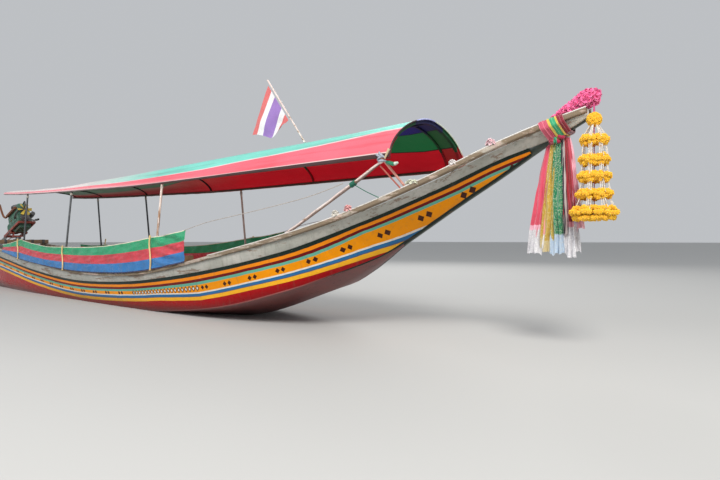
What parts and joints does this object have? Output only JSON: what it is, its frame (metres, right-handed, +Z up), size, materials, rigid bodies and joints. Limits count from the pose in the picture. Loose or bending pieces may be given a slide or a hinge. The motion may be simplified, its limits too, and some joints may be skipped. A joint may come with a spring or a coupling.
{
  "type": "longtail boat",
  "caption": "Long narrow open wooden canal boat with upswept bow, arched canopy, side curtains and a swivelling engine with a long tail shaft and propeller.",
  "frame": {"origin": "on the waterline plane and the centre line, at half the hull's length; the boat floats with this plane at the water's surface", "axes": "+X to the bow, +Y to port, +Z up"},
  "size_m": [18.6434, 1.833, 3.6328],
  "materials": {
    "bottom_paint": "dark maroon bottom paint on planks, matt",
    "striped_paint": "gloss paint in lengthwise stripes on planks, orange widest",
    "grey_paint": "weathered grey-white paint on planks",
    "rail_wood": "worn beige-pink paint over bare wood",
    "inner_wood": "oiled and worn planks",
    "seat_wood": "varnished boards",
    "canopy_cloth": "coated canopy cloth in long coloured bands, satin",
    "pole_paint": "pale pinkish paint on poles",
    "curtain_cloth": "glossy tarpaulin in green, rose red and blue bands",
    "flag_cloth": "faded thin cloth in plain stripes",
    "sash_cloth": "thin satin sashes in several colours with lace ends",
    "pink_flowers": "cloth flowers, matt",
    "marigolds": "yellow cloth marigolds, matt",
    "steel": "worn dark paint on steel",
    "engine_iron": "oily cast iron with worn green-grey paint",
    "rusty_steel": "rusty exhaust steel",
    "bronze": "worn bronze",
    "tank_plastic": "blue moulded plastic, scuffed",
    "battery_plastic": "black moulded plastic"
  },
  "bodies": {
    "hull": {"bottom_planking": "bottom_paint", "side_planking_stbd": "striped_paint", "side_planking_port": "striped_paint", "top_strake_stbd": "grey_paint", "top_strake_port": "grey_paint", "rail_cap_stbd": "rail_wood", "rail_cap_port": "rail_wood", "side_ribs_stbd": "inner_wood", "side_ribs_port": "inner_wood", "stem": "bottom_paint", "bow_board": "grey_paint", "transom": "grey_paint", "fore_deck": "inner_wood", "aft_deck": "inner_wood", "floor_boards": "inner_wood", "floor_timbers": "inner_wood", "seat_1": "seat_wood", "seat_2": "seat_wood", "seat_3": "seat_wood", "seat_4": "seat_wood", "seat_5": "seat_wood", "canopy_cover": "canopy_cloth", "canopy_ribs": "pole_paint", "front_arch": "pole_paint", "edge_pole_stbd": "pole_paint", "edge_pole_port": "pole_paint", "post_stbd_1": "pole_paint", "post_stbd_2": "pole_paint", "post_stbd_3": "pole_paint", "post_port_1": "pole_paint", "post_port_2": "pole_paint", "post_port_3": "pole_paint", "brace_stbd": "pole_paint", "brace_port": "pole_paint", "strut_stbd": "pole_paint", "strut_port": "pole_paint", "curtain_stbd": "curtain_cloth", "curtain_port": "curtain_cloth", "flag_pole": "pole_paint", "flag": "flag_cloth", "sashes": "sash_cloth", "pink_garland": "pink_flowers", "marigold_garland": "marigolds", "engine_beam": "inner_wood", "pivot_socket": "steel", "fuel_tank": "tank_plastic", "battery": "battery_plastic"},
    "swivel": {"swivel_yoke": "steel"},
    "drive": {"engine_frame": "steel", "engine_block": "engine_iron", "cylinder_head": "engine_iron", "exhaust": "rusty_steel", "bell_housing": "engine_iron", "tail_tube": "steel", "tiller": "steel"},
    "screw": {"propeller": "bronze"}
  },
  "joints": [
    {"name": "engine_swivel", "type": "hinge", "parent": "hull", "child": "swivel", "pos_m": [-6.85, 0, 1.16], "axis": [0, 0, 1], "range_deg": [-60, 60]},
    {"name": "engine_tilt", "type": "hinge", "parent": "swivel", "child": "drive", "pos_m": [-6.85, 0, 1.262], "axis": [0, 1, 0], "range_deg": [0, 18]},
    {"name": "propeller_spin", "type": "hinge", "parent": "drive", "child": "screw", "pos_m": [-11.3786, 0, -0.1841], "axis": [0.9397, 0, 0.342], "continuous": true}
  ]
}
